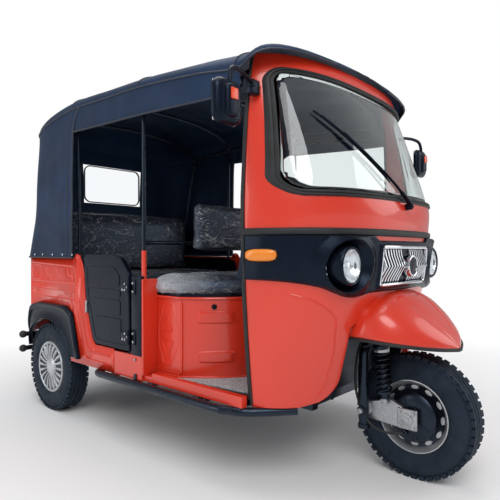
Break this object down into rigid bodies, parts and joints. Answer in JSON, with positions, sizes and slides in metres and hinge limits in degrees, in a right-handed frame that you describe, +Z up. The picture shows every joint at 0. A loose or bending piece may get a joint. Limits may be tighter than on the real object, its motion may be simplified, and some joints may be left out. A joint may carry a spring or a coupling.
{
  "type": "electric rickshaw",
  "caption": "Three-wheeled electric passenger rickshaw with an open-sided cab, cloth canopy, half doors and a single steered front wheel under a beaked mudguard.",
  "frame": {"origin": "on the ground, midway along the length and across the width of the bounding box", "axes": "+X forward, +Y to the vehicle's left, +Z up"},
  "size_m": [2.7854, 1.804, 1.927],
  "materials": {
    "orange_paint": "gloss",
    "black_paint": "satin",
    "black_plastic": "satin",
    "rubber": "matte",
    "tyre": "matte",
    "canvas": "matte",
    "vinyl": "satin",
    "mat": "matte",
    "glass": "gloss",
    "film": "gloss",
    "chrome": "gloss",
    "silver": "satin",
    "zinc": "satin",
    "amber": "gloss",
    "red_lens": "gloss",
    "battery_case": "matte"
  },
  "bodies": {
    "body": {"chassis_rails": "black_paint", "cross_members": "black_paint", "rear_axle": "black_paint", "leaf_springs": "black_paint", "floor_pan": "orange_paint", "wheelhouses": "orange_paint", "quarter_panels": "orange_paint", "tail_panel": "orange_paint", "tail_lamps": "red_lens", "arch_flares": "black_plastic", "sill_panels": "orange_paint", "door_posts": "orange_paint", "door_seals": "rubber", "floor_mat": "mat", "cab_cowl": "orange_paint", "cab_upper": "orange_paint", "belt_trim": "rubber", "wheel_well": "orange_paint", "nose_mask": "black_plastic", "headlamps": "black_plastic", "grille": "chrome", "side_markers": "amber", "windshield_gasket": "rubber", "windshield_glass": "glass", "wiper": "black_plastic", "mirrors": "black_plastic", "front_fender": "orange_paint", "dashboard": "black_plastic", "seat_box": "orange_paint", "battery_pack": "battery_case", "driver_backrest": "vinyl", "bench_base": "orange_paint", "bench_cushion": "vinyl", "bench_backrest": "vinyl", "canopy_frame": "black_paint", "canopy_roof": "canvas", "canopy_rear": "canvas", "rear_window": "film", "left_curtain": "canvas", "side_steps": "black_paint", "rear_bumper": "black_paint", "rubber_buffers": "rubber"},
    "steering": {"steering_fork": "black_paint", "handlebar": "black_paint", "suspension_arm": "zinc", "shock_absorber": "black_paint", "brake_plate": "black_paint"},
    "front_wheel": {"front_rim": "silver", "front_tyre": "tyre"},
    "rear_wheel_right": {"rear_rim_right": "silver", "rear_tyre_right": "tyre", "hubcap_right": "silver"},
    "rear_wheel_left": {"rear_rim_left": "silver", "rear_tyre_left": "tyre", "hubcap_left": "silver"},
    "right_door": {"door_right": "black_paint"},
    "left_door": {"door_left": "black_paint"},
    "seat_top": {"seat_lid": "black_plastic", "driver_cushion": "vinyl"}
  },
  "joints": [
    {"name": "steer", "type": "hinge", "parent": "body", "child": "steering", "pos_m": [0.94225, 0, 0.6], "axis": [-0.342, 0, 0.9397], "range_deg": [-38, 38]},
    {"name": "front_wheel_spin", "type": "hinge", "parent": "steering", "child": "front_wheel", "pos_m": [1.12725, 0, 0.2655], "axis": [0, 1, 0], "continuous": true},
    {"name": "rear_wheel_right_spin", "type": "hinge", "parent": "body", "child": "rear_wheel_right", "pos_m": [-0.96275, -0.58, 0.2655], "axis": [0, 1, 0], "continuous": true},
    {"name": "rear_wheel_left_spin", "type": "hinge", "parent": "body", "child": "rear_wheel_left", "pos_m": [-0.96275, 0.58, 0.2655], "axis": [0, 1, 0], "continuous": true},
    {"name": "right_door_swing", "type": "hinge", "parent": "body", "child": "right_door", "pos_m": [-0.07475, -0.665, 0.67], "axis": [0, 0, 1], "range_deg": [0, 90]},
    {"name": "left_door_swing", "type": "hinge", "parent": "body", "child": "left_door", "pos_m": [-0.07475, 0.665, 0.67], "axis": [0, 0, 1], "range_deg": [-90, 0]},
    {"name": "seat_lift", "type": "hinge", "parent": "body", "child": "seat_top", "pos_m": [-0.01475, 0, 0.769], "axis": [0, -1, 0], "range_deg": [0, 40]}
  ]
}
